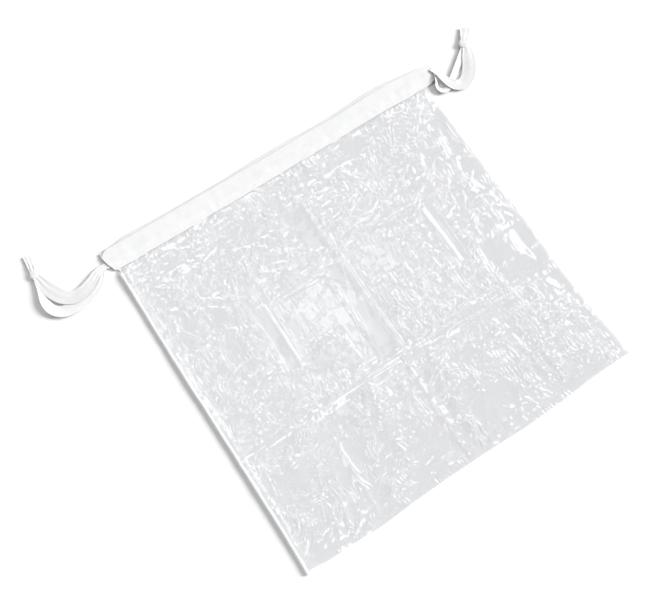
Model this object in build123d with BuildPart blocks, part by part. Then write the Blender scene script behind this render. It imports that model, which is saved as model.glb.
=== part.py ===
from build123d import *
from math import cos, radians, sin, tan
import os

# A clear film bag that lies flat, closed along its sides and its bottom. Its mouth has a white hem
# in front and one behind, each a flat channel. Two ribbons run through both channels. The left ribbon
# turns back round the right end of the hems and leaves at the left, and the right ribbon mirrors it.
# X runs along the hem, Y from the bottom of the bag to its mouth, and Z up from the surface it lies on.
# The origin is on that surface, under the middle of the bag. All sizes are in millimetres.

# Bag
bag_width = 500.0
bag_height = 485.0
film_thickness = 0.3
weld_width = 4.0

# Hems
hem_length = 516.0
hem_height = 33.0
seam_width = 4.0
ply_thickness = 0.3
channel_wall = 1.0
channel_end_length = 10.0

# Ribbons
ribbon_width = 12.0
ribbon_thickness = 0.5
slip = 0.2
lane_margin = 0.7

# Knots and ribbon ends
knot_width = 14.0
knot_length = 12.0
knot_height = 7.5
knot_rounding = 2.5
tail_length = 30.0
tail_slant = 3.0
arc_share = 0.45

os.makedirs("parts", exist_ok=True)

# Heights of the layers, from the surface up. Each channel is two plies with a ribbon between them.
channel_height = 2 * ply_thickness + ribbon_thickness + 2 * slip
back_floor = 0.0
front_floor = channel_height + slip
stack_height = front_floor + channel_height
ribbon_offset = ply_thickness + slip + ribbon_thickness / 2
ribbon_levels = {"front": front_floor + ribbon_offset, "back": back_floor + ribbon_offset}
middle_height = (ribbon_levels["front"] + ribbon_levels["back"]) / 2

# Lines across the bag
bag_top = bag_height / 2
bag_bottom = -bag_height / 2
hem_bottom = bag_top - hem_height
channel_bottom = hem_bottom + seam_width
hem_end = hem_length / 2
ply_end = hem_end - channel_end_length
film_side = bag_width / 2 - weld_width
film_bottom = bag_bottom + weld_width

# The left ribbon keeps to the lower lane of the channels and the right ribbon to the upper one.
lane_edge = channel_wall + lane_margin + ribbon_width / 2
lanes = {"left": channel_bottom + lane_edge, "right": bag_top - lane_edge}
outward = {"left": -1, "right": 1}

# The free stretches, as points that the ribbon's middle line turns at. Each starts at the channel's
# end, straight out of it, and ends inside its knot.
left_lane = lanes["left"]
right_lane = lanes["right"]
strand_points = {
    ("left", "front"): [
        (-hem_end, left_lane),
        (-270, left_lane),
        (-284, 212),
        (-300, 205),
        (-315, 205),
        (-327, 215),
        (-335, 230),
        (-339.5, 245),
        (-341.5, 257),
    ],
    ("left", "back"): [
        (-hem_end, left_lane),
        (-267, left_lane),
        (-276, 207),
        (-291, 198),
        (-311, 193.5),
        (-331, 194.5),
        (-344, 203),
        (-348, 217),
        (-345.5, 232),
        (-343, 246),
        (-342, 257),
    ],
    ("right", "front"): [
        (hem_end, right_lane),
        (268, right_lane),
        (273, 221.5),
        (276, 207),
        (279, 196),
        (285, 187.5),
        (295, 184.5),
        (307, 189.5),
        (317, 200),
        (326, 214),
        (333, 229),
    ],
    ("right", "back"): [
        (hem_end, right_lane),
        (271, right_lane),
        (272, 220),
        (266, 208),
        (260.5, 199.5),
        (263, 191.5),
        (271, 189.5),
        (280, 194.5),
        (292, 203),
        (306, 213),
        (320, 223.5),
        (331, 232),
    ],
}
knot_centres = {"left": (-342.5, 262.5), "right": (335.0, 236.0)}
knot_directions = {"left": 90.0, "right": 52.0}
tail_directions = {
    ("left", "front"): 97.0,
    ("left", "back"): 84.0,
    ("right", "front"): 53.0,
    ("right", "back"): 37.0,
}


def export(piece, name):
    """Label a finished piece and write it to its own file."""
    piece.part.label = name
    export_step(piece.part, f"parts/{name}.step")


def layer(name, x_span, y_span, z_span):
    """A flat layer of sheet, from its lowest to its highest X, Y and Z."""
    with BuildPart() as sheet:
        with BuildSketch(Plane.XY.offset(z_span[0])):
            with Locations((sum(x_span) / 2, sum(y_span) / 2)):
                Rectangle(x_span[1] - x_span[0], y_span[1] - y_span[0])
        extrude(amount=z_span[1] - z_span[0])
    export(sheet, name)


def film_bag():
    """The two film panels and the welds that join them along the sides and the bottom."""
    panel_x = (-film_side, film_side)
    panel_y = (film_bottom, hem_bottom)
    layer("back_film", panel_x, panel_y, (0, film_thickness))
    layer("front_film", panel_x, panel_y, (stack_height - film_thickness, stack_height))
    layer("left_side_weld", (-bag_width / 2, -film_side), panel_y, (0, stack_height))
    layer("right_side_weld", (film_side, bag_width / 2), panel_y, (0, stack_height))
    layer("bottom_weld", (-bag_width / 2, bag_width / 2), (bag_bottom, film_bottom), (0, stack_height))


def hem(face, floor, outer_ply_floor, inner_ply_floor):
    """One hem between its two channel ends: the seam, two plies and the fold along the mouth."""
    ply_x = (-ply_end, ply_end)
    ply_y = (channel_bottom, bag_top - channel_wall)
    span = (floor, floor + channel_height)
    layer(f"{face}_hem_seam", (-hem_end, hem_end), (hem_bottom, channel_bottom), span)
    layer(f"{face}_hem_fold", ply_x, (bag_top - channel_wall, bag_top), span)
    layer(f"{face}_hem_outer_ply", ply_x, ply_y, (outer_ply_floor, outer_ply_floor + ply_thickness))
    layer(f"{face}_hem_inner_ply", ply_x, ply_y, (inner_ply_floor, inner_ply_floor + ply_thickness))


def channel_end(side, face, floor):
    """The turned-in end of a channel: a flat sleeve that the ribbons slide through."""
    sleeve_height = bag_top - channel_bottom
    centre = Plane(
        origin=(outward[side] * ply_end, channel_bottom + sleeve_height / 2, floor + channel_height / 2),
        x_dir=(0, 1, 0),
        z_dir=(outward[side], 0, 0),
    )
    with BuildPart() as sleeve:
        with BuildSketch(centre):
            Rectangle(sleeve_height, channel_height)
            opening_width = sleeve_height - 2 * channel_wall
            Rectangle(opening_width, channel_height - 2 * ply_thickness, mode=Mode.SUBTRACT)
        extrude(amount=channel_end_length)
    export(sleeve, f"{face}_{side}_channel_end")


def ribbon_run(side, face):
    """The stretch of a ribbon inside one hem, from one end of the channel to the other."""
    lane = lanes[side]
    level = ribbon_levels[face]
    lane_span = (lane - ribbon_width / 2, lane + ribbon_width / 2)
    level_span = (level - ribbon_thickness / 2, level + ribbon_thickness / 2)
    layer(f"{side}_ribbon_{face}_run", (-hem_end, hem_end), lane_span, level_span)


def ribbon_turn(side):
    """Where a ribbon turns back from the front channel into the back one, at the far end."""
    far = -outward[side]
    turn_radius = (ribbon_levels["front"] - ribbon_levels["back"]) / 2
    outer = turn_radius + ribbon_thickness / 2
    inner = turn_radius - ribbon_thickness / 2
    section = Plane(
        origin=(far * hem_end, lanes[side] - ribbon_width / 2, middle_height),
        x_dir=(far, 0, 0),
        z_dir=(0, 1, 0),
    )
    with BuildPart() as turn:
        with BuildSketch(section):
            with BuildLine():
                CenterArc((0, 0), outer, -90, 180)
                CenterArc((0, 0), inner, -90, 180)
                Line((0, -outer), (0, -inner))
                Line((0, inner), (0, outer))
            make_face()
        extrude(amount=ribbon_width)
    export(turn, f"{side}_ribbon_turn")


def corner_radii(points):
    """The largest arc that each corner of a route has room for."""
    radii = []
    for before, corner, after in zip(points, points[1:], points[2:]):
        run_in = corner - before
        run_out = after - corner
        half_turn = radians(run_in.get_angle(run_out)) / 2
        radii.append(arc_share * min(run_in.length, run_out.length) / tan(half_turn))
    return radii


def ribbon_strand(side, face):
    """The free stretch of a ribbon, lying flat, from the channel's end to the knot."""
    level = ribbon_levels[face]
    points = [Vector(x, y, level) for x, y in strand_points[side, face]]
    radii = corner_radii(points)
    start = Plane(origin=points[0], x_dir=(0, 0, 1), z_dir=points[1] - points[0])
    with BuildPart() as strand:
        with BuildLine() as route:
            FilletPolyline(*points, radius=radii)
        with BuildSketch(start):
            Rectangle(ribbon_thickness, ribbon_width)
        sweep()
    export(strand, f"{side}_ribbon_{face}_strand")
    length = route.wire().length
    expected = length * ribbon_width * ribbon_thickness
    print(
        f"{side} {face} strand: {length:.1f} mm long, smallest radius {min(radii):.1f} mm,",
        f"volume {strand.part.volume / expected:.3f} of section times length",
    )


def knot(side):
    """The overhand knot that ties the two ends of a ribbon together, as a plain rounded lump."""
    ground = Plane(origin=(*knot_centres[side], 0), x_dir=(1, 0, 0), z_dir=(0, 0, 1))
    with BuildPart() as lump:
        with BuildSketch(ground.rotated((0, 0, knot_directions[side]))):
            Rectangle(knot_length, knot_width)
        extrude(amount=knot_height)
        fillet(lump.edges().filter_by(Axis.Z), knot_rounding)
        fillet(lump.faces().sort_by(Axis.Z)[-1].edges(), knot_rounding)
    export(lump, f"{side}_knot")


def ribbon_tail(side, face):
    """A ribbon's cut end beyond the knot, trimmed a little out of square."""
    direction = radians(tail_directions[side, face])
    along = Vector(cos(direction), sin(direction), 0)
    floor = ribbon_levels[face] - ribbon_thickness / 2
    root = Vector(*knot_centres[side], floor)
    half = ribbon_width / 2
    with BuildPart() as tail:
        with BuildSketch(Plane(origin=root, x_dir=along, z_dir=(0, 0, 1))):
            with BuildLine():
                Polyline(
                    (0, -half),
                    (tail_length, -half),
                    (tail_length - tail_slant, half),
                    (0, half),
                    close=True,
                )
            make_face()
        extrude(amount=ribbon_thickness)
    export(tail, f"{side}_ribbon_{face}_tail")


film_bag()
hem("front", front_floor, stack_height - ply_thickness, front_floor)
hem("back", back_floor, back_floor, channel_height - ply_thickness)
for side in ("left", "right"):
    channel_end(side, "front", front_floor)
    channel_end(side, "back", back_floor)
    ribbon_turn(side)
    knot(side)
    for face in ("front", "back"):
        ribbon_run(side, face)
        ribbon_strand(side, face)
        ribbon_tail(side, face)
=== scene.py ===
"""A clear film drawstring bag lying flat: crinkled film, two white hems and two knotted ribbons."""
import math

import bpy
import numpy as np
from mathutils import Matrix, Vector


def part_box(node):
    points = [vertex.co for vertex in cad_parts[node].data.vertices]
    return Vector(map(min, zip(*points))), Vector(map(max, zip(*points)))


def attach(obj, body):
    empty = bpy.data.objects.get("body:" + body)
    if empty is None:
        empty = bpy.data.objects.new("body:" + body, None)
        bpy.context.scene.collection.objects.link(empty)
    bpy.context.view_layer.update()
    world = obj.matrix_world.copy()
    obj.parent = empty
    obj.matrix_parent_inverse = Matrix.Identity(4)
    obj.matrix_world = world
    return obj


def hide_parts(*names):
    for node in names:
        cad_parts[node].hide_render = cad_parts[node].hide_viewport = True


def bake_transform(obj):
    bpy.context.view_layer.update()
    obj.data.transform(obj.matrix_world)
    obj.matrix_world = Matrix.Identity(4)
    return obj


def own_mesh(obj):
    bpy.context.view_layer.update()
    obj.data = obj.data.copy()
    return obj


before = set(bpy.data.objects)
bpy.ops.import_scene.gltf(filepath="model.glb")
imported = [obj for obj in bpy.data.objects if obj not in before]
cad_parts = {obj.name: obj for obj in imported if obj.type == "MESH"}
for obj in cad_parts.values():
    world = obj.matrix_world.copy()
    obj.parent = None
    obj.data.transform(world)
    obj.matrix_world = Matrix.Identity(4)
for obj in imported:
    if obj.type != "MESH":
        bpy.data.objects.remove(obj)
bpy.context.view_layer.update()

MM = 0.001

# Places from the frame, in millimetres
BAG_LOW = np.array(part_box("bottom_weld")[0]) / MM
SEAM_LOW = np.array(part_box("front_hem_seam")[0]) / MM
SEAM_HIGH = np.array(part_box("front_hem_seam")[1]) / MM
BAG_SIDE = -BAG_LOW[0]
BAG_BOTTOM = BAG_LOW[1]
BAG_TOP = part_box("front_hem_fold")[1][1] / MM
HEM_BOTTOM = SEAM_LOW[1]
HEM_END = SEAM_HIGH[0]
PLY_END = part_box("front_hem_outer_ply")[1][0] / MM
FILM_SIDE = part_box("front_film")[1][0] / MM
FILM_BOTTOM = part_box("front_film")[0][1] / MM
FRONT_FLOOR = SEAM_LOW[2]

FACES = ("front", "back")
SIDES = {"left": -1, "right": 1}


# Noise and small helpers

CELLS = 64  # cells along each side of a table of noise, before it repeats


def smooth_noise(x, y, cell, seed):
    """Smooth noise from -1 to 1, whose features are about one cell wide."""
    table = np.random.default_rng(seed).uniform(-1, 1, (CELLS, CELLS))
    gx = np.asarray(x, float) / cell + 20.37
    gy = np.asarray(y, float) / cell + 20.71
    ix = np.floor(gx).astype(int)
    iy = np.floor(gy).astype(int)
    fx = gx - ix
    fy = gy - iy
    fx = fx * fx * (3 - 2 * fx)
    fy = fy * fy * (3 - 2 * fy)
    ix, iy = ix % CELLS, iy % CELLS
    next_x, next_y = (ix + 1) % CELLS, (iy + 1) % CELLS
    low = table[ix, iy] * (1 - fx) + table[next_x, iy] * fx
    high = table[ix, next_y] * (1 - fx) + table[next_x, next_y] * fx
    return low * (1 - fy) + high * fy


def basins(x, y, cell, seed):
    """Shallow basins that meet in sharp ridges, from 0 in a basin to about 1 on a ridge."""
    rng = np.random.default_rng(seed)
    jitter = rng.uniform(0.08, 0.92, (CELLS, CELLS, 2))
    lift = rng.uniform(0, 0.25, (CELLS, CELLS))
    gx = np.asarray(x, float) / cell + 24
    gy = np.asarray(y, float) / cell + 24
    ix = np.floor(gx).astype(int)
    iy = np.floor(gy).astype(int)
    lowest = np.full(gx.shape, 9.0)
    for di in (-1, 0, 1):
        for dj in (-1, 0, 1):
            near = (ix + di) % CELLS, (iy + dj) % CELLS
            far_x = ix + di + jitter[near][..., 0] - gx
            far_y = iy + dj + jitter[near][..., 1] - gy
            lowest = np.minimum(lowest, far_x ** 2 + far_y ** 2 + lift[near])
    return lowest


def step(value, start, end):
    """A smooth rise from 0 at start to 1 at end."""
    t = np.clip((value - start) / (end - start), 0, 1)
    return t * t * (3 - 2 * t)


def hump(x, centre, reach):
    """A smooth rise to 1 at the centre, nearly gone at twice the reach."""
    return np.exp(-(((x - centre) / reach) ** 2))


# Materials

def new_material(name):
    """A material with one Principled shader, then its nodes, its links and the shader."""
    material = bpy.data.materials.new(name)
    material.use_nodes = True
    nodes = material.node_tree.nodes
    return material, nodes, material.node_tree.links, nodes["Principled BSDF"]


def set_inputs(node, values):
    for socket, value in values.items():
        node.inputs[socket].default_value = value


def add_node(nodes, kind, **settings):
    """A new shader node. Each setting is the value of a socket, or a property of the node."""
    node = nodes.new("ShaderNode" + kind)
    for key, value in settings.items():
        if key in node.inputs:
            node.inputs[key].default_value = value
        else:
            setattr(node, key, value)
    return node


def lay_on(nodes, links, *textures):
    """Textures follow the piece that they are on."""
    place = add_node(nodes, "TexCoord")
    for texture in textures:
        links.new(place.outputs["Object"], texture.inputs["Vector"])


def multiply(nodes, links, first, second):
    """The product of two sockets."""
    product = add_node(nodes, "Math", operation="MULTIPLY")
    links.new(first, product.inputs[0])
    links.new(second, product.inputs[1])
    return product.outputs["Value"]


def add_bump(nodes, links, shader, height, strength, distance):
    bump = add_node(nodes, "Bump", Strength=strength, Distance=distance)
    links.new(height, bump.inputs["Height"])
    links.new(bump.outputs["Normal"], shader.inputs["Normal"])
    return bump


def film_material(name, colour, alpha, roughness, ior):
    """Glossy clear film. The share of light that it stops is its alpha."""
    material, nodes, links, shader = new_material(name)
    set_inputs(shader, {
        "Base Color": (*colour, 1),
        "Alpha": alpha,
        "IOR": ior,
        "Specular IOR Level": 1.0,
        "Coat Weight": 0.8,
        "Coat Roughness": 0.06,
        "Coat IOR": 1.6,
    })
    cloudy = add_node(nodes, "TexNoise", Scale=28.0, Detail=3.0)
    fine = add_node(nodes, "TexWave", Scale=58.0, Distortion=9.0, Detail=1.5)
    set_inputs(fine, {"Detail Scale": 0.8})
    patches = add_node(nodes, "TexNoise", Scale=34.0, Detail=1.0)
    lay_on(nodes, links, cloudy, fine, patches)

    # The gloss changes in soft clouds
    spread = add_node(nodes, "MapRange")
    set_inputs(spread, {"To Min": roughness * 0.7, "To Max": roughness * 1.4})
    links.new(cloudy.outputs["Fac"], spread.inputs["Value"])
    links.new(spread.outputs["Result"], shader.inputs["Roughness"])

    # Fine wrinkles lie in patches, and only where the film is crumpled
    where = add_node(nodes, "MapRange")
    set_inputs(where, {"From Min": 0.47, "From Max": 0.62})
    links.new(patches.outputs["Fac"], where.inputs["Value"])
    crumpled = add_node(nodes, "Attribute", attribute_name="crumpled")
    share = multiply(nodes, links, where.outputs["Result"], crumpled.outputs["Fac"])
    wrinkled = multiply(nodes, links, fine.outputs["Fac"], share)
    bump = add_bump(nodes, links, shader, wrinkled, 1.0, 0.0005)
    links.new(bump.outputs["Normal"], shader.inputs["Coat Normal"])
    return material


def cloth_material(name, light, roughness, sheen, sheen_roughness):
    """Thin white cloth, which passes some of the light that falls on its far side."""
    material, nodes, links, shader = new_material(name)
    set_inputs(shader, {
        "Subsurface Weight": light,
        "Subsurface Radius": (1, 1, 1),
        "Subsurface Scale": 0.001,
        "Roughness": roughness,
        "Sheen Weight": sheen,
        "Sheen Roughness": sheen_roughness,
    })
    return material, nodes, links, shader


def cloudy_tone(nodes, links, shader, noise, start, end):
    """Colour by a noise, between two tones that are each a place on the ramp and a colour."""
    tone = add_node(nodes, "ValToRGB")
    for element, (position, colour) in zip(tone.color_ramp.elements, (start, end)):
        element.position = position
        element.color = (*colour, 1)
    links.new(noise.outputs["Fac"], tone.inputs["Fac"])
    links.new(tone.outputs["Color"], shader.inputs["Base Color"])


def hem_material():
    """White nonwoven: short matted fibres with small flat bond points."""
    material, nodes, links, shader = cloth_material("white_nonwoven", 0.3, 0.72, 0.25, 0.5)
    fibre = add_node(nodes, "TexNoise", Scale=900.0, Detail=4.0, Roughness=0.7)
    matted = add_node(nodes, "TexNoise", Scale=130.0, Detail=3.0)
    bond = add_node(nodes, "TexVoronoi", Scale=620.0, Randomness=0.25)
    lay_on(nodes, links, fibre, matted, bond)
    grey = (0.3, (0.742, 0.745, 0.748))
    white = (0.65, (0.772, 0.772, 0.772))
    cloudy_tone(nodes, links, shader, matted, grey, white)
    mix = add_node(nodes, "Math", operation="ADD")
    links.new(fibre.outputs["Fac"], mix.inputs[0])
    links.new(bond.outputs["Distance"], mix.inputs[1])
    add_bump(nodes, links, shader, mix.outputs["Value"], 0.35, 0.0003)
    return material


def ribbon_material():
    """White satin ribbon: a fine weave with a soft sheen."""
    material, nodes, links, shader = cloth_material("white_satin", 0.35, 0.42, 0.3, 0.4)
    weave = add_node(nodes, "TexWave", Scale=900.0, Distortion=1.2, Detail=1.0)
    weave.bands_direction = "DIAGONAL"
    soft = add_node(nodes, "TexNoise", Scale=160.0, Detail=3.0)
    lay_on(nodes, links, weave, soft)
    grey = (0.25, (0.69, 0.693, 0.696))
    white = (0.7, (0.74, 0.74, 0.743))
    cloudy_tone(nodes, links, shader, soft, grey, white)
    add_bump(nodes, links, shader, weave.outputs["Fac"], 0.25, 0.0002)
    return material


def floor_material():
    """Matt and nearly white, so that it meets the background without an edge."""
    material, _, _, shader = new_material("pale_floor")
    set_inputs(shader, {
        "Base Color": (0.83, 0.83, 0.83, 1),
        "Roughness": 0.9,
        "Specular IOR Level": 0.0,
    })
    return material


# Colour, alpha, roughness and index of refraction of each clear part
FILM = film_material("clear_film_look", (0.915, 0.928, 0.985), 0.098, 0.08, 2.5)
WELD = film_material("film_weld_look", (0.76, 0.77, 0.78), 0.88, 0.16, 1.45)
THIN_WELD = film_material("thin_weld_look", (0.90, 0.92, 0.95), 0.07, 0.12, 1.45)
HEM = hem_material()
RIBBON = ribbon_material()


# Meshes

def grid_normals(points, cyclic=False):
    """Normals of a grid of points, rows by columns. Its columns close into a ring if cyclic."""
    along = np.gradient(points, axis=0)
    if cyclic:
        across = (np.roll(points, -1, axis=1) - np.roll(points, 1, axis=1)) / 2
    else:
        across = np.gradient(points, axis=1)
    normals = np.cross(along, across)
    return normals / np.maximum(np.linalg.norm(normals, axis=2, keepdims=True), 1e-9)


def rim_faces(upper, lower, turned):
    """Faces between two lines of points, one over the other."""
    near, far = upper[:-1], upper[1:]
    low, far_low = lower[:-1], lower[1:]
    corners = [far, near, low, far_low] if turned else [near, far, far_low, low]
    return np.stack(corners, -1)


def grid_faces(rows, columns, cyclic):
    """Faces of a closed thin sheet: the upper grid, the lower grid and the rim between them."""
    index = np.arange(rows * columns).reshape(rows, columns)
    if cyclic:
        index = np.concatenate([index, index[:, :1]], axis=1)
    lower = index + rows * columns
    a, b, c, d = index[:-1, :-1], index[1:, :-1], index[1:, 1:], index[:-1, 1:]
    e, f, g, h = lower[:-1, :-1], lower[1:, :-1], lower[1:, 1:], lower[:-1, 1:]
    quads = [np.stack([a, b, c, d], -1).reshape(-1, 4), np.stack([e, h, g, f], -1).reshape(-1, 4)]
    quads.append(rim_faces(index[0], lower[0], False))
    quads.append(rim_faces(index[-1], lower[-1], True))
    if not cyclic:
        quads.append(rim_faces(index[:, 0], lower[:, 0], True))
        quads.append(rim_faces(index[:, -1], lower[:, -1], False))
    return np.concatenate(quads)


def add_mesh(name, points, faces, material, sharp=55):
    """A mesh piece from points in millimetres. Edges past that many degrees stay sharp."""
    mesh = bpy.data.meshes.new(name)
    mesh.from_pydata((np.asarray(points) * MM).tolist(), [], np.asarray(faces).tolist())
    mesh.materials.append(material)
    mesh.shade_smooth()
    mesh.set_sharp_from_angle(angle=math.radians(sharp))
    piece = bpy.data.objects.new(name, mesh)
    bpy.context.scene.collection.objects.link(piece)
    return piece


def add_sheet(name, points, thickness, material, cyclic=False, normals=None, sharp=55):
    """A closed thin sheet whose middle surface is a grid of points."""
    if normals is None:
        normals = grid_normals(points, cyclic)
    rows, columns = points.shape[:2]
    upper = points + normals * thickness / 2
    lower = points - normals * thickness / 2
    both = np.concatenate([upper.reshape(-1, 3), lower.reshape(-1, 3)])
    return add_mesh(name, both, grid_faces(rows, columns, cyclic), material, sharp)


def settle(piece, body, slot, *nodes):
    """Hang a piece on the body it rides and hide the solids it stands for. Its slot is not used."""
    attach(piece, body)
    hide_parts(*nodes)


# Outlines: the hems' lower and upper edges and the bag's sides wander a little.

def hem_foot_shift(x):
    """How far the hems' lower edge lies above its straight line."""
    return 2.2 * hump(x, 165, 55) - 1.2 + 0.8 * smooth_noise(x, 70.0, 45, 85)


def hem_head_shift(x):
    """How far the front hem's upper edge lies above its straight line."""
    return 2.6 * hump(x, 180, 45) - 0.8 + 0.8 * smooth_noise(x, 10.0, 45, 86)


def back_head_shift(x):
    """How far the back hem shows beyond the front one."""
    peek = 2.6 + 2.4 * smooth_noise(x, 0.0, 50, 81) + 1.2 * hump(x, 130, 60)
    return peek * step(HEM_END - np.abs(x), 2, 40)


def side_wander(y, side):
    """How far a side lies outside the straight bag: both sides draw in towards the bottom."""
    if side < 0:
        inward = 2.0 + 5.0 * step(-y, -140, 220)
    else:
        inward = 0.8 + 4.4 * hump(y, -110, 95)
    row = side * 40.0
    return 0.6 * smooth_noise(y, row, 70, 5) + 0.4 * smooth_noise(y, row, 18, 6) - inward


def bottom_shift(x):
    """How far the bottom edge lies above its straight line: it bows out."""
    bow = 6.0 + 2.0 * hump(x, -141, 35) + 3.0 * hump(x, 100, 70) - 3.0 * hump(x, -250, 22)
    return -bow + 0.3 * smooth_noise(x, 10.0, 30, 9)


EDGES = {
    # Height of each edge of the bag, the row of the noise that it follows, and how much it wavers
    "left": (4.8, 0.0, 1.0),
    "right": (1.0, 90.0, 0.5),
    "bottom": (1.1, 180.0, 0.5),
}


def edge_height(along, which):
    """Height of the weld's body along one of the bag's edges. The left edge stands up."""
    base, row, share = EDGES[which]
    wide = 0.9 * smooth_noise(along, row, 55, 7)
    return base + share * (wide + 0.3 * smooth_noise(along, row, 14, 8))


# Film

FILM_THICKNESS = 0.15
FILM_GRID = {"front": (154, 284), "back": (95, 175)}  # cells across each half, and points up it
FILM_GAP = 0.45
FILM_SOFT_FLOOR = 0.25
FILM_PAST_SIDE = {"left": 1.0, "right": 0.05}  # the thin welds start where the film ends
FILM_PAST_BOTTOM = 0.05
FILM_UNDER_HEM = 2.5
FILM_LAY = {
    # Level of each panel, how far from the weld's level its edge is held, how far in that reaches,
    # and its level under the hem
    "front": (3.0, 0.15, 18.0, FRONT_FLOOR + 0.7),
    "back": (1.0, -0.15, 11.0, 0.75),
}
FILM_EDGES = {
    # How many times that reach the film takes to come down to each edge, and how far below it
    "left": (1.0, 0.6),
    "right": (2.4, 0.0),
    "bottom": (2.4, 0.0),
}

# Where the bag was folded, and where the folds cross
FOLD_ACROSS = (73.0, -91.0)
BACK_FOLD_SHIFT = 9.0
STAR_RAYS = 9
FOLD_STARS = ((-128, 74), (9, 75), (132, 72), (9, -89), (-131, -92), (134, -90))

# Bounds of the rectangles between the folds, and how high each rises
PUFF_X = (-250.0, -114.0, 8.0, 130.0, 250.0)
PUFF_Y = (211.0, 73.0, -91.0, -243.0)
PUFF = (
    (1.6, 1.6, 1.6, 1.4),
    (1.8, 1.0, 1.2, 1.6),
    (1.8, 2.0, 2.0, 1.6),
)
CALM = (
    # Patches where the film lies nearly smooth: lowest and highest x, then y, and how smooth
    (-22, 6, -80, 58, 0.97),
    (-133, -113, -30, 60, 0.95),
    (-25, 4, 86, 158, 0.93),
    (134, 154, -32, 62, 0.92),
    (166, 246, -62, -26, 0.9),
    (216, 248, 108, 168, 0.9),
    (-111, -26, -14, 55, 0.74),
    (-46, -24, -80, 10, 0.88),
    (-205, -150, 165, 205, 0.7),
    (60, 120, 170, 205, 0.7),
    (22, 70, 10, 66, 0.7),
    (70, 112, -30, 30, 0.5),
    (-192, -164, 14, 54, 0.7),
    (-100, -50, 140, 180, 0.6),
    (-60, -10, -225, -180, 0.6),
    (30, 90, -225, -180, 0.5),
    (168, 246, -90, -66, 0.85),
    (196, 246, -138, -106, 0.8),
    (60, 180, -118, -104, 0.6),
)
TILTS = (
    # Strips beside the folds that lean: lowest and highest x, then y, and slopes along x and y
    (-22, 8, -84, 62, 0.10, 0.0),
    (-133, -113, -34, 64, 0.11, 0.0),
    (-25, 6, 82, 162, 0.09, -0.02),
    (133, 156, -36, 66, -0.10, 0.0),
    (-100, -20, 76, 92, 0.0, 0.09),
    (20, 120, 75, 90, 0.0, 0.08),
    (40, 110, -86, -66, 0.02, -0.09),
    (-110, -30, -88, -72, 0.0, -0.09),
)
STREAKS = (
    # Long creases that stand out: start, end, height, how far their flanks reach, and bend
    ((-207, 152), (-177, 118), 1.8, 1.6, 0.004),
    ((-177, 118), (-131, 78), 2.0, 1.8, -0.004),
    ((-78, 102), (-13, 82), 2.0, 2.4, 0.003),
    ((-70, 92), (-30, 92), 1.6, 1.4, 0.004),
    ((-112, 57), (-17, 55), 1.6, 1.5, 0.001),
    ((45, 78), (127, 71), 2.4, 2.2, 0.001),
    ((123, 184), (168, 129), 1.8, 1.6, 0.006),
    ((150, 178), (204, 160), 1.6, 1.3, -0.006),
    ((140, 160), (190, 150), 1.4, 1.2, 0.006),
    ((-132, -139), (-134, -237), 2.6, 2.6, 0.001),
    ((-146, -150), (-172, -214), 1.8, 1.6, 0.003),
    ((-3, -162), (-4, -225), 2.4, 2.4, 0.0),
    ((10, -120), (60, -150), 1.6, 1.4, 0.004),
    ((131, -121), (141, -231), 2.0, 1.8, 0.001),
    ((118, -125), (124, -215), 1.4, 1.4, 0.0),
    ((136, -141), (206, -183), 2.2, 2.0, 0.004),
    ((150, -128), (232, -168), 1.8, 1.7, -0.003),
    ((-184, -181), (-154, -172), 1.8, 1.8, 0.006),
    ((-237, -198), (-196, -222), 1.6, 1.6, 0.004),
    ((68, -232), (120, -234), 2.0, 2.6, 0.002),
    ((-60, -110), (-10, -96), 2.2, 2.2, 0.003),
    ((12, -86), (64, -60), 1.8, 1.6, -0.004),
    ((20, -98), (70, -116), 1.8, 1.8, 0.003),
    ((14, -90), (112, -92), 3.0, 2.4, 0.0),
    ((66, -98), (206, -100), 3.2, 2.6, 0.0),
    ((40, -82), (150, -86), 1.8, 1.6, 0.0),
    ((150, 30), (205, 92), 1.4, 1.3, 0.003),
    ((-238, 120), (-206, 60), 1.4, 1.4, 0.004),
)
RIDGE_FIELD = ((-250, 250), (-242, 211))
RIDGES = {
    # How many short creases each panel has, their seed and how steep the steepest is
    "front": (1500, 72, 0.8),
    "back": (700, 71, 0.45),
}
FILM_SEEDS = {"front": 50, "back": 55}


def fold_lines(x, y, face):
    """Relief of the creases of a bag folded in four across and in three along, and their flanks."""
    shift = 0.0 if face == "front" else BACK_FOLD_SHIFT
    wander_x = 1.6 * smooth_noise(x, y, 60, 21)
    wander_y = 1.6 * smooth_noise(x, y, 60, 22)
    # The folds along the bag stand at other places below the lowest fold across it
    upper = step(y, -95, -85)
    lower = 1 - upper
    relief = np.zeros_like(x)
    flank = np.zeros_like(x)
    middle = 8 + 9 * np.clip((y - 73) / 138, 0, 1)
    for line, height, part in (
        (-113 + shift, 1.6, upper),
        (middle - shift, 2.2, upper),
        (130 + shift, 1.6, upper),
        (-133 - shift, 1.8, lower),
        (-3 + shift, 2.2, lower),
        (137 - shift, 1.8, lower),
    ):
        away = x - line + wander_x
        vary = 0.75 + 0.5 * smooth_noise(x * 0 + line, y, 30, 23)
        relief += part * vary * height * np.exp(-np.abs(away) / 4)
        relief -= part * 0.5 * height * np.exp(-np.abs(away - 12) / 4)
        flank = np.maximum(flank, part * np.exp(-(away / 8) ** 2))
    high_line, low_line = FOLD_ACROSS
    for line, height in ((high_line - shift, 1.7), (low_line + shift * 0.7, 3.2)):
        away = y - line + wander_y
        vary = 0.75 + 0.5 * smooth_noise(x, y * 0 + line, 34, 24)
        relief += vary * height * np.exp(-np.abs(away) / 4.5)
        relief -= 0.45 * height * np.exp(-np.abs(away + 12) / 4)
        flank = np.maximum(flank, np.exp(-(away / 8) ** 2))
    return relief, flank


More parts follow.
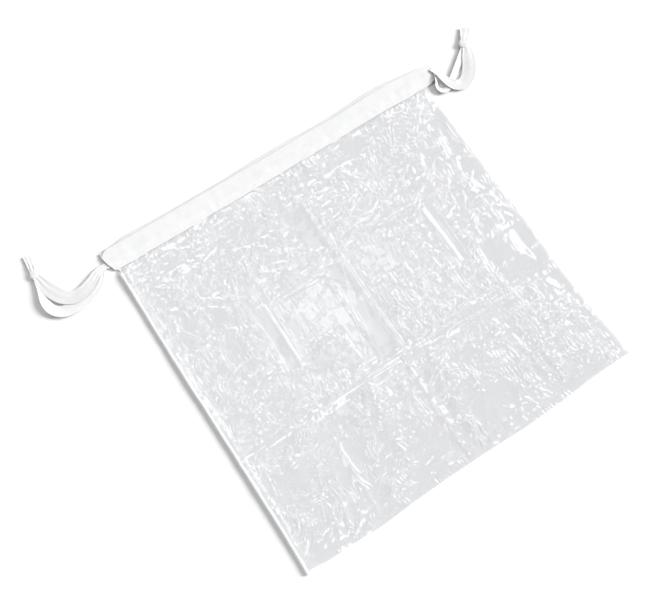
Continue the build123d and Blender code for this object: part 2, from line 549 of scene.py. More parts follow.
def fold_stars(x, y):
    """Puckers that spread from the points where two folds cross."""
    relief = np.zeros_like(x)
    for number, (middle_x, middle_y) in enumerate(FOLD_STARS):
        reach = np.hypot(x - middle_x, y - middle_y)
        angle = np.arctan2(y - middle_y, x - middle_x)
        rays = np.zeros_like(x)
        rng = np.random.default_rng(60 + number)
        for _ in range(STAR_RAYS):
            aim = rng.uniform(-math.pi, math.pi)
            width = rng.uniform(0.07, 0.2)
            length = rng.uniform(14, 42)
            turn = np.abs((angle - aim + math.pi) % (2 * math.pi) - math.pi)
            rays += rng.uniform(0.6, 1.7) * np.exp(-turn / width) * np.exp(-reach / length)
        relief += rays * step(reach, 0, 9) + 1.2 * np.exp(-reach / 6)
    return relief


def puffs(x, y):
    """Each rectangle between the folds stands up a little in its middle."""
    relief = np.zeros_like(x)
    for row, heights in enumerate(PUFF):
        for column, height in enumerate(heights):
            u = np.clip((x - PUFF_X[column]) / (PUFF_X[column + 1] - PUFF_X[column]), 0, 1)
            v = np.clip((y - PUFF_Y[row + 1]) / (PUFF_Y[row] - PUFF_Y[row + 1]), 0, 1)
            relief += height * (16 * u * (1 - u) * v * (1 - v)) ** 0.7
    return relief


def window(x, y, low_x, high_x, low_y, high_y, soft):
    """1 inside a rectangle and 0 outside it, with an edge of that softness."""
    inside_x = step(x, low_x - soft, low_x + soft) * step(x, high_x + soft, high_x - soft)
    return inside_x * step(y, low_y - soft, low_y + soft) * step(y, high_y + soft, high_y - soft)


def calm(x, y):
    """1 where the film is crumpled, less where it is nearly smooth."""
    share = 0.95 + 0.3 * smooth_noise(x, y, 48, 35)
    for low_x, high_x, low_y, high_y, smooth in CALM:
        share = share * (1 - smooth * window(x, y, low_x, high_x, low_y, high_y, 4))
    return np.clip(share, 0, 1)


def tilts(x, y):
    """Strips beside the folds that lean, and drop off where they end."""
    relief = np.zeros_like(x)
    for low_x, high_x, low_y, high_y, slope_x, slope_y in TILTS:
        rise = slope_x * (x - low_x) if slope_x >= 0 else slope_x * (x - high_x)
        rise = rise + (slope_y * (y - low_y) if slope_y >= 0 else slope_y * (y - high_y))
        relief += rise * window(x, y, low_x, high_x, low_y, high_y, 2.5)
    return relief


def streaks(x, y):
    """The long creases, each a ridge whose left flank is the steeper one."""
    relief = np.zeros_like(x)
    for (start_x, start_y), (end_x, end_y), height, reach, bend in STREAKS:
        half = math.hypot(end_x - start_x, end_y - start_y) / 2
        aim = math.atan2(end_y - start_y, end_x - start_x)
        dx, dy = x - (start_x + end_x) / 2, y - (start_y + end_y) / 2
        u = dx * math.cos(aim) + dy * math.sin(aim)
        v = dy * math.cos(aim) - dx * math.sin(aim) - bend * u * u
        v = v + 1.2 * smooth_noise(x, y, 12, 36)
        along = np.clip(1.05 - (u / half) ** 2, 0, 1) ** 0.7
        flank = np.where(v > 0, reach * 0.7, reach * 1.6)
        relief += height * along * np.exp(-np.abs(v) / flank)
    return relief


def facets(x, y, seed):
    """Long narrow facets that meet in sharp ridges and change direction from place to place."""
    relief = np.zeros_like(x)
    for number, turn in enumerate((0.3, 1.05, 1.8, 2.55)):
        along = x * math.cos(turn) + y * math.sin(turn)
        across = y * math.cos(turn) - x * math.sin(turn)
        weight = np.clip(0.08 + 1.7 * smooth_noise(x, y, 46, seed + number), 0, 1)
        relief += weight * basins(along / 4.0, across, 10.0, seed + 10 + number)
    return relief


def add_ridges(relief, x, y, count, seed, steepest):
    """Many short sharp creases, each curved, with one flank steeper than the other."""
    rng = np.random.default_rng(seed)
    near_x = x[:, 0]
    near_y = y[0]
    for _ in range(count):
        middle_x = rng.uniform(*RIDGE_FIELD[0])
        middle_y = rng.uniform(*RIDGE_FIELD[1])
        flow = 3.2 * float(smooth_noise(middle_x, middle_y, 75, 31))
        aim = flow + rng.normal(0, 0.75)
        half = min(44.0, 8.0 * math.exp(rng.normal(0.25, 0.6)))
        steep = rng.uniform(1.2, 2.2) * (0.7 + half / 40)
        gentle = steep * rng.uniform(1.3, 3.2)
        height = steep * steepest * rng.uniform(0.25, 1.0)
        bend = rng.normal(0, 0.012)
        sign = 1 if rng.uniform() < 0.8 else -1
        reach = half + 6
        first, last = np.searchsorted(near_x, (middle_x - reach, middle_x + reach))
        low, high = np.searchsorted(near_y, (middle_y - reach, middle_y + reach))
        if last - first < 2 or high - low < 2:
            continue
        part = (slice(first, last), slice(low, high))
        dx, dy = x[part] - middle_x, y[part] - middle_y
        u = dx * math.cos(aim) + dy * math.sin(aim)
        v = -dx * math.sin(aim) + dy * math.cos(aim) - bend * u * u
        along = np.clip(1.8 * (1 - (u / half) ** 2), 0, 1)
        narrow = 0.45 + 0.55 * along
        flank = np.where(v > 0, steep, gentle)
        relief[part] += sign * height * along * np.clip(1 - np.abs(v) / flank / narrow, 0, 1)


def film_roughness(x, y, face):
    """How crumpled the film is, less beside its folds."""
    return calm(x, y) * (1 - 0.7 * fold_lines(x, y, face)[1])


def film_inside(x, y, face):
    """Height of the film's own relief away from its edges."""
    warp_x = x + 7 * smooth_noise(x, y, 45, 41) + 3 * smooth_noise(x, y, 15, 42)
    warp_y = y + 7 * smooth_noise(x, y, 45, 43) + 3 * smooth_noise(x, y, 15, 44)
    rough = film_roughness(x, y, face)
    seed = FILM_SEEDS[face]
    folds = fold_lines(x, y, face)[0]
    wide = 1.6 * basins(warp_x, warp_y, 32, seed) * (0.3 + 0.7 * rough)
    wide = wide + 2.4 * facets(warp_x, warp_y, seed + 1) * rough
    wide = wide + 0.15 * basins(warp_x + 40, warp_y, 7.5, seed + 2) * rough
    if face == "back":
        relief = 0.5 * folds + 0.6 * wide
        add_ridges(relief, x, y, *RIDGES[face])
        return relief - relief.mean()
    relief = folds + fold_stars(x, y) + tilts(x, y) + streaks(x, y) + wide
    ridges = np.zeros_like(x)
    add_ridges(ridges, x, y, *RIDGES[face])
    relief += ridges * rough
    return relief - relief.mean()


def film_grid(columns, rows):
    """The film's outline as a grid of places: its first axis across the bag, its second up it."""
    u = np.linspace(-1, 1, 2 * columns + 1)[:, None]
    v = np.linspace(0, 1, rows)[None, :]
    guess_x = u * BAG_SIDE + 0 * v
    top = HEM_BOTTOM + FILM_UNDER_HEM + hem_foot_shift(guess_x)
    bottom = FILM_BOTTOM - FILM_PAST_BOTTOM + bottom_shift(guess_x)
    y = bottom + v * (top - bottom)
    side = np.where(u < 0, side_wander(y, -1), side_wander(y, 1))
    past = np.where(u < 0, FILM_PAST_SIDE["left"], FILM_PAST_SIDE["right"])
    x = u * (FILM_SIDE + past) + u * np.abs(u) * side
    return x, y


def film_height(x, y, face):
    """Height of one panel's film, from its relief and from where its edges are held."""
    inside = film_inside(x, y, face)
    free_left = x + BAG_SIDE + side_wander(y, -1) - 3
    free_right = BAG_SIDE + side_wander(y, 1) - 3 - x
    free_bottom = y - FILM_BOTTOM - bottom_shift(x) + 1
    free_top = HEM_BOTTOM + 2 + hem_foot_shift(x) - y
    level, hold, reach, seam = FILM_LAY[face]
    level = level + 0 * x
    if face == "front":
        level = level + puffs(x, y) + 1.4 * hump(free_left, 0, 40)
    relief_share = 1.0
    for free, which, along in (
        (free_left, "left", y),
        (free_right, "right", y),
        (free_bottom, "bottom", x),
    ):
        stretch, drop = FILM_EDGES[which]
        share = step(free, 0, stretch * reach)
        level = level * share + (edge_height(along, which) + hold - drop) * (1 - share)
        relief_share = relief_share * step(free, -1, 7)
    share = step(free_top, 1, 14)
    level = level * share + seam * (1 - share)
    relief_share = relief_share * step(free_top, 0, 8)
    height = level + inside * relief_share
    return FILM_SOFT_FLOOR + np.log1p(np.exp((height - FILM_SOFT_FLOOR) * 4)) / 4


def build_film():
    """Both panels, each as a left and a right half."""
    pieces = {}
    for face in FACES:
        columns, rows = FILM_GRID[face]
        x, y = film_grid(columns, rows)
        z = film_height(x, y, face)
        if face == "front":
            z = np.maximum(z, film_height(x, y, "back") + FILM_GAP)
        points = np.stack([x, y, z], -1)
        normals = grid_normals(points)
        rough = film_roughness(x, y, face)
        halves = {"left": slice(0, columns + 1), "right": slice(columns, 2 * columns + 1)}
        for side, part in halves.items():
            name = f"{face}_film_{side}"
            half, out = points[part], normals[part]
            piece = add_sheet(name, half, FILM_THICKNESS, FILM, normals=out, sharp=70)
            crumpled = piece.data.attributes.new("crumpled", "FLOAT", "POINT")
            crumpled.data.foreach_set("value", np.tile(rough[part].ravel(), 2))
            pieces[face, side] = piece
    return pieces


def bend_to_mouth(piece, side):
    """Bake the piece's place into its mesh. The corner and the mouth are worked out, but nothing
    moves or bends the piece by them.
    """
    outward = SIDES[side]
    corner = Vector((outward * BAG_SIDE, BAG_BOTTOM, 0)) * MM
    start = Vector((0, HEM_BOTTOM, 0)) * MM
    still = corner - start
    across = Vector((still.y, -still.x, 0)) * (1 if outward < 0 else -1)
    mouth = Vector((outward * BAG_SIDE, HEM_BOTTOM, 0)) * MM - start
    across = across.normalized() * mouth.dot(across.normalized())
    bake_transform(piece)


film = build_film()
for (face, side), piece in film.items():
    bend_to_mouth(piece, side)
    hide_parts(f"{face}_film")


# Welds: strips with two raised lines, along the sides and the bottom. The left one is milky and
# stands on its edge, with a flange that falls away inward. The other two are thin and clear.

WELD_THICKNESS = 0.45
WELD_ACROSS = (0.0, 0.3, 0.6, 0.9, 1.3, 1.8, 2.4, 3.2, 4.0)
WALL_FOOT = 0.35
WALL_WIDTH = 0.9
FLANGE_SLOPE = 0.2
BETWEEN_HEMS = 1.7


def weld_profile(across):
    """Rise of the weld's surface, from its outer edge at 0 to where the film begins at 4 mm."""
    return 0.3 * hump(across, 1.0, 0.45) + 0.2 * hump(across, 2.6, 0.5)


def build_weld(name, which):
    """One weld, as a grid across it from the bag's edge inward and along it."""
    across = np.array(WELD_ACROSS)[:, None]
    if which == "bottom":
        left_end = -BAG_SIDE - side_wander(BAG_BOTTOM, -1)
        right_end = BAG_SIDE + side_wander(BAG_BOTTOM, 1)
        along = np.linspace(left_end, right_end, 300)[None, :]
        x = along + 0 * across
        y = BAG_BOTTOM + across + bottom_shift(along)
        z = edge_height(along, "bottom") + weld_profile(across)
        # Its left end climbs to the foot of the left weld
        left_rise = edge_height(BAG_BOTTOM, "left") - edge_height(along, "bottom") - 0.4
        z = z + left_rise * step(-along, -left_end - 16, -left_end - 2) * step(across, -1, 2)
        points = np.stack([x, y, z], -1)[:, ::-1]
    else:
        side = SIDES[which]
        foot_y = BAG_BOTTOM + float(bottom_shift(side * BAG_SIDE))
        along = np.linspace(foot_y + 0.5, HEM_BOTTOM + 1.5, 280)[None, :]
        y = along + 0 * across
        x = side * (BAG_SIDE - across) + side * side_wander(y, side)
        z = edge_height(along, which)
        if side < 0:
            # A wall from the surface up, then the flange
            z = WALL_FOOT + (z - WALL_FOOT) * step(across, 0, WALL_WIDTH)
            z = z - FLANGE_SLOPE * (across - WALL_WIDTH) * (across > WALL_WIDTH)
        z = z + weld_profile(across)
        # Its top end goes between the hems
        share = step(HEM_BOTTOM - along, 0, 14)
        z = z * share + BETWEEN_HEMS * (1 - share)
        if side > 0:
            # Its foot comes down to the bottom weld
            foot = edge_height(side * BAG_SIDE, "bottom") + weld_profile(across)
            share = step(along - foot_y, 0, 9)
            z = z * share + foot * (1 - share)
        points = np.stack([x, y, z], -1)
        if side > 0:
            points = points[::-1]
    look = WELD if which == "left" else THIN_WELD
    return add_sheet(name, points, WELD_THICKNESS, look)


for which in ("left", "right", "bottom"):
    name = f"{which}_weld_bead"
    node = "bottom_weld" if which == "bottom" else f"{which}_side_weld"
    piece = build_weld(name, which)
    if which == "bottom":
        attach(piece, "bag")
    else:
        bend_to_mouth(piece, which)
    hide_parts(node)


# Hems: flat white sleeves with a seam along the film and a soft fold along the mouth

HEM_PLY = 0.28
HEM_ROWS = 27
HEM_SHAPE = {
    # Share of the hem's height from its foot, and height above the hem's own floor
    "front": ((0, 0.35), (0.03, 1.05), (0.09, 1.25), (0.13, 0.95), (0.18, 1.45), (0.28, 2.05),
              (0.42, 2.3), (0.58, 2.15), (0.75, 2.3), (0.9, 2.3), (0.975, 2.25), (1.0, 0.5)),
    "back": ((0, 0.35), (0.04, 1.1), (0.1, 1.2), (0.14, 1.05), (0.3, 1.3),
             (0.6, 1.35), (0.88, 1.35), (0.97, 1.3), (1.0, 0.4)),
}
HEM_FLOORS = {"front": FRONT_FLOOR + 0.12, "back": 0.18}
HEM_ENDS = {
    # Length and stations of each end, then how far its foot and its head draw in and how late
    "left": (10.0, 9, (4.0, 1.5), (7.0, 1.3)),
    "right": (31.0, 28, (7.5, 1.6), (19.0, 2.2)),
}
HEM_STATIONS = 331
SLEEVE_STATIONS = 10
FLAP_LOWEST = 2.9


def hem_points(x, face):
    """Closed sections of a hem at each x: up its outer side and back along its floor."""
    front = face == "front"
    floor = HEM_FLOORS[face]
    foot = HEM_BOTTOM + hem_foot_shift(x)
    head = BAG_TOP + hem_head_shift(x) + (0.0 if front else back_head_shift(x))
    if not front:
        foot = foot + 0.6
    shares, heights = np.array(HEM_SHAPE[face]).T
    s = np.linspace(0, 1, HEM_ROWS)
    rise = np.interp(s, shares, heights)
    outer_y = foot[:, None] + s[None, :] * (head - foot)[:, None]
    outer_z = floor + rise[None, :] + 0 * outer_y
    body = np.sin(math.pi * s)[None, :] ** 0.6
    ripple = 0.30 * smooth_noise(x[:, None], s[None, :] * 40, 26, 82)
    ripple = ripple + 0.22 * smooth_noise(x[:, None], s[None, :] * 25, 9, 83)
    near_seam = hump(s, 0.16, 0.12)[None, :]
    pucker = 0.20 * smooth_noise(x[:, None], s[None, :] * 10, 4.0, 84) * near_seam
    outer_z = outer_z + (ripple * body + pucker) * (1.0 if front else 0.35)
    back_s = s[1:-1][::-1]
    inner_y = foot[:, None] + back_s[None, :] * (head - foot)[:, None]
    inner_z = floor + 0 * inner_y
    y = np.concatenate([outer_y, inner_y], axis=1)
    z = np.concatenate([outer_z, inner_z], axis=1)
    return np.stack([np.broadcast_to(x[:, None], y.shape), y, z], -1)


def end_points(side, face):
    """The end of a hem. The right one is long and drawn in, and the left one is cut aslant."""
    length, stations, (foot_draw, foot_late), (head_draw, head_late) = HEM_ENDS[side]
    share = np.linspace(0, 1, stations)
    x = SIDES[side] * (PLY_END + share * length)
    points = hem_points(x, face)
    foot = points[:, :, 1].min(axis=1, keepdims=True)
    head = points[:, :, 1].max(axis=1, keepdims=True)
    place = (points[:, :, 1] - foot) / (head - foot)
    foot_goal = foot + (foot_draw * share ** foot_late)[:, None]
    head_goal = head - (head_draw * share ** head_late)[:, None]
    points[:, :, 1] = foot_goal + place * (head_goal - foot_goal)
    if side == "right":
        points[:, :, 0] -= (3.0 * share[:, None] ** 2) * np.abs(place - 0.45)
    else:
        points[:, :, 0] += 6.0 * share[:, None] ** 2 * (1 - place) ** 2
        if face == "back":
            points[:, :, 0] += 2.5 * share[:, None]
            points[:, :, 1] -= 2.0 * share[:, None] * place
        points = points[::-1]
    return points


for face in FACES:
    along = np.linspace(-PLY_END, PLY_END, HEM_STATIONS)
    hem = add_sheet(f"{face}_hem", hem_points(along, face)[:, ::-1], HEM_PLY, HEM, cyclic=True)
    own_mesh(hem)
    nodes = (f"{face}_hem_{part}" for part in ("seam", "fold", "outer_ply", "inner_ply"))
    settle(hem, "bag", "white_hem", *nodes)
    for side in SIDES:
        points = end_points(side, face)
        sleeve = points if side == "left" else points[:SLEEVE_STATIONS]
        name = f"{face}_{side}_hem_end"
        ends = [add_sheet(name, sleeve[:, ::-1], HEM_PLY, HEM, cyclic=True)]
        if side == "right":
            # Past the sleeve only one ply goes on: over the ribbon in front, under it behind
            beyond = points[SLEEVE_STATIONS - 1:]
            ply = beyond[:, :HEM_ROWS] if face == "front" else beyond[:, HEM_ROWS:][:, ::-1]
            if face == "front":
                ply[:, :, 2] = np.maximum(ply[:, :, 2], FLAP_LOWEST)
            ends.append(add_sheet(f"{face}_right_hem_flap", ply[:, ::-1], HEM_PLY, HEM))
        for piece in ends:
            settle(piece, f"{side}_channel_end", "white_hem", f"{face}_{side}_channel_end")


# Ribbons

RIBBON_PLY = 0.35
RIBBON_FLOOR = 0.35  # lowest level of its middle surface
RIBBON_COLUMNS = 29
STRAND_SPACING = 1.0
RUN_WIDTH = 10.0
RUN_STATIONS = 173

# Routes of the free stretches, from hem to knot, in metres: the turning points of the solids
ROUTES = {
    ("left", "front"): (
        (-0.258, 0.2212, 0.0024), (-0.270, 0.2212, 0.0034), (-0.284, 0.212, 0.0050),
        (-0.300, 0.205, 0.0052), (-0.315, 0.205, 0.0042), (-0.327, 0.215, 0.0042),
        (-0.335, 0.230, 0.0048), (-0.3395, 0.245, 0.0050), (-0.3415, 0.257, 0.0045),
    ),
    ("left", "back"): (
        (-0.258, 0.2212, 0.0010), (-0.267, 0.2212, 0.0014), (-0.276, 0.207, 0.0022),
        (-0.291, 0.198, 0.0026), (-0.311, 0.1935, 0.0030), (-0.331, 0.1945, 0.0034),
        (-0.344, 0.203, 0.0042), (-0.348, 0.217, 0.0046), (-0.3455, 0.232, 0.0042),
        (-0.343, 0.246, 0.0040), (-0.342, 0.257, 0.0038),
    ),
    ("right", "front"): (
        (0.258, 0.2348, 0.0024), (0.268, 0.2348, 0.0034), (0.273, 0.2215, 0.0052),
        (0.276, 0.207, 0.0052), (0.279, 0.196, 0.0048), (0.285, 0.1875, 0.0036),
        (0.295, 0.1845, 0.0028), (0.307, 0.1895, 0.0028), (0.317, 0.200, 0.0030),
        (0.326, 0.214, 0.0038), (0.333, 0.229, 0.0048),
    ),
    ("right", "back"): (
        (0.258, 0.2348, 0.0008), (0.271, 0.2348, 0.0014), (0.272, 0.220, 0.0024),
        (0.266, 0.208, 0.0028), (0.2605, 0.1995, 0.0030), (0.263, 0.1915, 0.0030),
        (0.271, 0.1895, 0.0028), (0.280, 0.1945, 0.0026), (0.292, 0.203, 0.0034),
        (0.306, 0.213, 0.0030), (0.320, 0.2235, 0.0030), (0.331, 0.232, 0.0034),
    ),
}


def route_line(name, points):
    """Points along the smooth line of a route, in metres."""
    curve = bpy.data.curves.new(name, "CURVE")
    curve.dimensions = "3D"
    curve.resolution_u = 16
    spline = curve.splines.new("NURBS")
    spline.points.add(len(points) - 1)
    for point, place in zip(spline.points, points):
        point.co = (*place, 1)
    spline.order_u = 3
    spline.use_endpoint_u = True
    carrier = bpy.data.objects.new(name, curve)
    bpy.context.scene.collection.objects.link(carrier)
    line = bpy.data.meshes.new_from_object(carrier)
    places = np.array([v.co for v in line.vertices])
    bpy.data.objects.remove(carrier)
    bpy.data.curves.remove(curve)
    bpy.data.meshes.remove(line)
    return places


def even_line(places, spacing):
    """The same line with evenly spaced points."""
    lengths = np.linalg.norm(np.diff(places, axis=0), axis=1)
    travelled = np.concatenate([[0], np.cumsum(lengths)])
    count = max(8, int(travelled[-1] / spacing))
    at = np.linspace(0, travelled[-1], count)
    return np.stack([np.interp(at, travelled, places[:, k]) for k in range(3)], -1), travelled[-1]


def ribbon_mesh(name, line, width, tilt, pleat, folds=1.5, seed=0):
    """A thin ribbon along a line in millimetres, with its widths, tilts in degrees and pleats."""
    at = np.linspace(0, 1, len(line))
    tangent = np.gradient(line, axis=0)
    tangent /= np.linalg.norm(tangent, axis=1, keepdims=True)
    sideways = np.cross((0, 0, 1), tangent)
    sideways /= np.linalg.norm(sideways, axis=1, keepdims=True)
    upward = np.cross(tangent, sideways)
    angle = np.radians(np.interp(at, np.linspace(0, 1, len(tilt)), tilt))[:, None]
    wide = np.interp(at, np.linspace(0, 1, len(width)), width)[:, None, None]
    deep = np.interp(at, np.linspace(0, 1, len(pleat)), pleat)[:, None]
    across = np.cos(angle) * sideways + np.sin(angle) * upward
    out = -np.sin(angle) * sideways + np.cos(angle) * upward
    v = np.linspace(-1, 1, RIBBON_COLUMNS)[None, :]
    wave = np.cos(math.pi * folds * v + 0.8 * smooth_noise(at * 90, 3.0 + seed, 25, 91)[:, None])
    wave = wave + 0.25 * smooth_noise(at[:, None] * len(line), v * 9 + seed * 7, 5, 92)
    edging = 0.16 * hump(np.abs(v), 0.93, 0.07)
    points = line[:, None, :] + across[:, None, :] * v[:, :, None] * wide / 2
    points = points + out[:, None, :] * (deep * wave + edging)[:, :, None]
    short = np.maximum(RIBBON_FLOOR - points[:, :, 2].min(axis=1), 0)
    points[:, :, 2] += short[:, None]
    return add_sheet(name, points[:, ::-1], RIBBON_PLY, RIBBON, sharp=70)


STRAND_LOOKS = {
    # Number of pleats across, then width, tilt and pleat depth from the hem to the knot
    ("left", "front"): (
        2.5, (8, 11, 14, 16, 18, 19, 19, 16, 10), (0, 3, 4, 2, 0, -3, -5, -4, 0),
        (0.2, 0.14, 0.08, 0.06, 0.05, 0.05, 0.06, 0.12, 0.25),
    ),
    ("left", "back"): (
        1.5, (8, 11, 13, 15, 16, 16, 14, 12, 9, 8), (0, 3, 4, 2, 0, 0, 10, 24, 28, 18, 5),
        (0.2, 0.14, 0.08, 0.06, 0.06, 0.06, 0.06, 0.08, 0.25),
    ),
    ("right", "front"): (
        1.5, (9, 10, 11, 13, 15, 18, 19, 19, 18, 11), (0, -15, -20, -8, 4, -2, -4, -3, -1, 0),
        (0.2, 0.2, 0.15, 0.1, 0.08, 0.08, 0.08, 0.08, 0.15, 0.3),
    ),
    ("right", "back"): (
        1.5, (8, 9, 9, 9, 9, 9, 9, 9, 9, 8), (0, -20, -45, -50, -20, 6, 12, 14, 14, 12, 8),
        (0.2, 0.15, 0.1, 0.1, 0.1, 0.08, 0.08, 0.1, 0.3),
    ),
}
KNOT_MIDDLE = 3.2
KNOT_HALF_HEIGHT = 2.8
KNOT_GRID = (44, 60)
KNOTS = {
    # Middle, direction of the ribbon through it in degrees, and half its length and width
    "left": ((-342.8, 261.3), 88.0, (6.6, 6.2)),
    "right": ((333.0, 236.6), 50.0, (7.0, 7.4)),
}
TAILS = {
    # Direction in degrees, length in millimetres and widths from the knot to the cut end
    ("left", "front"): (86.0, 30.0, (5.5, 7.0, 7.5, 8.0)),
    ("left", "back"): (83.0, 27.5, (5.5, 6.5, 7.0, 7.0)),
    ("right", "front"): (49.0, 28.0, (8.0, 10.5, 13.0, 15.0)),
    ("right", "back"): (46.5, 26.0, (8.0, 10.0, 12.0, 13.5)),
}
TAIL_LEVELS = {"front": (3.4, 1.6, 6), "back": (2.0, 0.0, 7)}  # level in the knot, lift and seed
TAIL_START = 2.5
TAIL_STATIONS = 30
TAIL_FLOOR = 1.0


def build_knot(side):
    """An overhand knot, drawn tight: a rounded lump with the turns of the ribbon wound round it."""
    (middle_x, middle_y), heading, (half_length, half_width) = KNOTS[side]
    rows, columns = KNOT_GRID
    theta = np.linspace(0, math.pi, rows + 2)[1:-1, None]
    phi = np.linspace(0, 2 * math.pi, columns, endpoint=False)[None, :]
    turns = np.cos(1.6 * math.pi * np.cos(theta) + 1.4 * np.cos(phi) + 0.6)
    girth = np.sin(theta) ** 0.6 * (1 + 0.05 * turns)
    length = half_length * np.cos(theta) + 0 * phi
    width = half_width * girth * np.sign(np.cos(phi)) * np.abs(np.cos(phi)) ** 0.7
    rise = np.sign(np.sin(phi)) * np.abs(np.sin(phi)) ** 0.7
    height = KNOT_MIDDLE + KNOT_HALF_HEIGHT * girth * rise
    ends = np.array([(half_length, 0, KNOT_MIDDLE), (-half_length, 0, KNOT_MIDDLE)])
    points = np.concatenate([np.stack([length, width, height], -1).reshape(-1, 3), ends])
    turn = math.radians(heading)
    x = points[:, 0] * math.cos(turn) - points[:, 1] * math.sin(turn) + middle_x
    y = points[:, 0] * math.sin(turn) + points[:, 1] * math.cos(turn) + middle_y
    places = np.stack([x, y, points[:, 2]], -1)
    index = np.arange(rows * columns).reshape(rows, columns)
    beside = np.roll(index, -1, axis=1)
    first = np.full(columns, rows * columns)
    last = first + 1
    faces = np.concatenate([
        np.stack([index[:-1], index[1:], beside[1:]], -1).reshape(-1, 3),
        np.stack([index[:-1], beside[1:], beside[:-1]], -1).reshape(-1, 3),
        np.stack([first, index[0], beside[0]], -1),
        np.stack([last, beside[-1], index[-1]], -1),
    ])
    return add_mesh(f"{side}_knot_tied", places, faces, RIBBON, sharp=80)


def build_tail(side, face):
    """A cut end of a ribbon beyond its knot. The front one lies on the back one."""
    (knot_x, knot_y), _, _ = KNOTS[side]
    direction, length, width = TAILS[side, face]
    level, lift, seed = TAIL_LEVELS[face]
    aim = np.array([math.cos(math.radians(direction)), math.sin(math.radians(direction)), 0])
    along = np.linspace(TAIL_START, length, TAIL_STATIONS)[:, None]
    line = np.array([knot_x, knot_y, 0]) + aim * along
    line[:, 2] = level - (level - TAIL_FLOOR) * step(along[:, 0], 4, 22) + lift
    name = f"{side}_{face}_tail"
    return ribbon_mesh(name, line, width, (0, 4, 2, 0), (0.5, 0.3, 0.15, 0.12), seed=seed)


def build_run(side, face):
    """The stretch inside a hem, which follows the hem's wandering."""
    low, high = (np.array(corner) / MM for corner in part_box(f"{side}_ribbon_{face}_run"))
    lane = (low[1] + high[1]) / 2
    share = (lane - HEM_BOTTOM) / (BAG_TOP - HEM_BOTTOM)
    x = np.linspace(-HEM_END, HEM_END, RUN_STATIONS)
    fade = step(HEM_END - np.abs(x), 0, 20)
    shift = (hem_foot_shift(x) * (1 - share) + hem_head_shift(x) * share) * fade
    line = np.stack([x, lane + shift, 0 * x + (low[2] + high[2]) / 2], -1)
    return ribbon_mesh(f"{side}_{face}_run", line, (RUN_WIDTH,), (0,), (0.04,), seed=2)


for side in SIDES:
    body = f"{side}_ribbon"
    knot = build_knot(side)
    settle(knot, body, "white_ribbon", f"{side}_knot")
    ends = {"front": [knot], "back": []}
    for face in FACES:
        tail = build_tail(side, face)
        settle(tail, body, "white_ribbon", f"{side}_ribbon_{face}_tail")
        ends[face].append(tail)
    for face in FACES:
        name = f"{side}_{face}_strand"
        places = route_line(name, ROUTES[side, face])
        line, length = even_line(places, STRAND_SPACING * MM)
        folds, width, tilt, pleat = STRAND_LOOKS[side, face]
        strand = ribbon_mesh(name, line / MM, width, tilt, pleat, folds=folds, seed=len(name))
        settle(strand, body, "white_ribbon", f"{side}_ribbon_{face}_strand")
        run = build_run(side, face)
        settle(run, body, "white_ribbon", f"{side}_ribbon_{face}_run")
    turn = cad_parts[f"{side}_ribbon_turn"]
    turn.data.materials.clear()
    turn.data.materials.append(RIBBON)


# Floor, lights and camera

FLOOR_HALF = 3.0
FLOOR_LEVEL = -0.0003
SUNS = (
    # Name, level direction as x and y, elevation and half its angle in degrees, radiance, and
    # whether surfaces mirror it. The key casts the shadows and the softboxes make the glints.
    ("key", (0.99, -0.33), 29, 13, 29.5, False),
    ("softbox_right", (0.97, 0.20), 43, 13, 3.1, True),
    ("softbox_up", (0.20, 0.98), 45, 14, 3.2, True),
    ("softbox_left", (-0.90, 0.40), 55, 13, 2.7, True),
    ("softbox_low", (0.20, -0.98), 55, 13, 3.0, True),
    ("softbox_over", (0.613, 0.79), 74.6, 6.5, 1.5, True),
)
WORLD_STRENGTH = 0.10
CAMERA_ANGLES = (-35.17, 74.75, 2.03)  # azimuth, elevation and roll in degrees
CAMERA_TARGET = (-0.04046, 0.02472, 0)
CAMERA_DISTANCE = 0.9344
CAMERA_LENS = 39.47


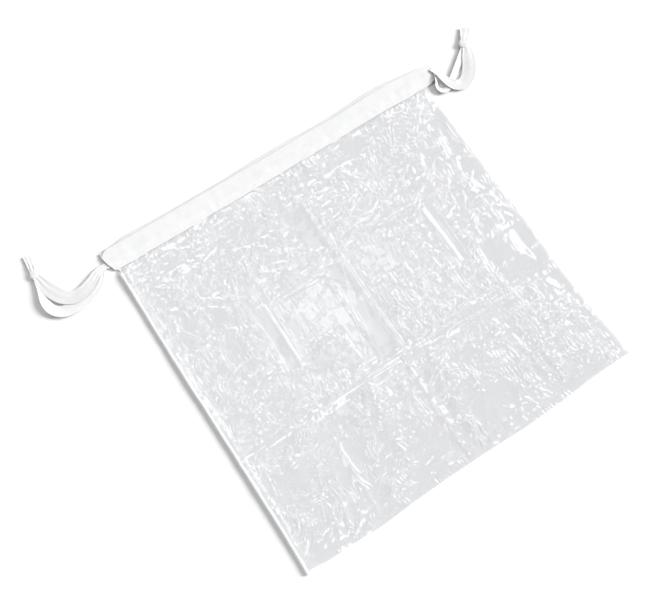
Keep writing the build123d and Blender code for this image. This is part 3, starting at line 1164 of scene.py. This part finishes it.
def add_floor():
    mesh = bpy.data.meshes.new("floor")
    around = ((-1, -1), (1, -1), (1, 1), (-1, 1))
    corners = [(x * FLOOR_HALF, y * FLOOR_HALF, FLOOR_LEVEL) for x, y in around]
    mesh.from_pydata(corners, [], [(0, 1, 2, 3)])
    mesh.materials.append(floor_material())
    floor = bpy.data.objects.new("floor", mesh)
    bpy.context.scene.collection.objects.link(floor)


def add_sun(name, direction, elevation, half_angle, radiance, mirrored):
    """A far round light of one radiance."""
    level = Vector((*direction, 0)).normalized()
    lift = math.radians(elevation)
    data = bpy.data.lights.new(name, "SUN")
    data.angle = math.radians(2 * half_angle)
    data.energy = radiance * math.pi * math.sin(math.radians(half_angle)) ** 2
    light = bpy.data.objects.new(name, data)
    bpy.context.scene.collection.objects.link(light)
    light.location = level * math.cos(lift) + Vector((0, 0, 1)) * math.sin(lift)
    light.rotation_euler = (-light.location).to_track_quat("-Z", "Y").to_euler()
    light.visible_glossy = mirrored


def add_camera():
    azimuth, elevation, roll = (math.radians(a) for a in CAMERA_ANGLES)
    back = Vector((
        math.sin(azimuth) * math.cos(elevation),
        -math.cos(azimuth) * math.cos(elevation),
        math.sin(elevation),
    ))
    right = Vector((0, 0, 1)).cross(back).normalized()
    up = back.cross(right)
    rolled_right = right * math.cos(roll) + up * math.sin(roll)
    rolled_up = up * math.cos(roll) - right * math.sin(roll)
    data = bpy.data.cameras.new("camera")
    data.lens = CAMERA_LENS
    data.sensor_width = 36
    data.clip_start = 0.01
    camera = bpy.data.objects.new("camera", data)
    bpy.context.scene.collection.objects.link(camera)
    turned = Matrix((rolled_right, rolled_up, back)).transposed().to_4x4()
    place = Vector(CAMERA_TARGET) + back * CAMERA_DISTANCE
    camera.matrix_world = Matrix.Translation(place) @ turned
    bpy.context.scene.camera = camera


def add_world():
    world = bpy.data.worlds.new("studio")
    world.use_nodes = True
    background = world.node_tree.nodes["Background"]
    set_inputs(background, {"Color": (1, 1, 1, 1), "Strength": WORLD_STRENGTH})
    bpy.context.scene.world = world


add_floor()
for sun in SUNS:
    add_sun(*sun)
add_world()
bpy.context.scene.view_settings.view_transform = "Standard"
add_camera()
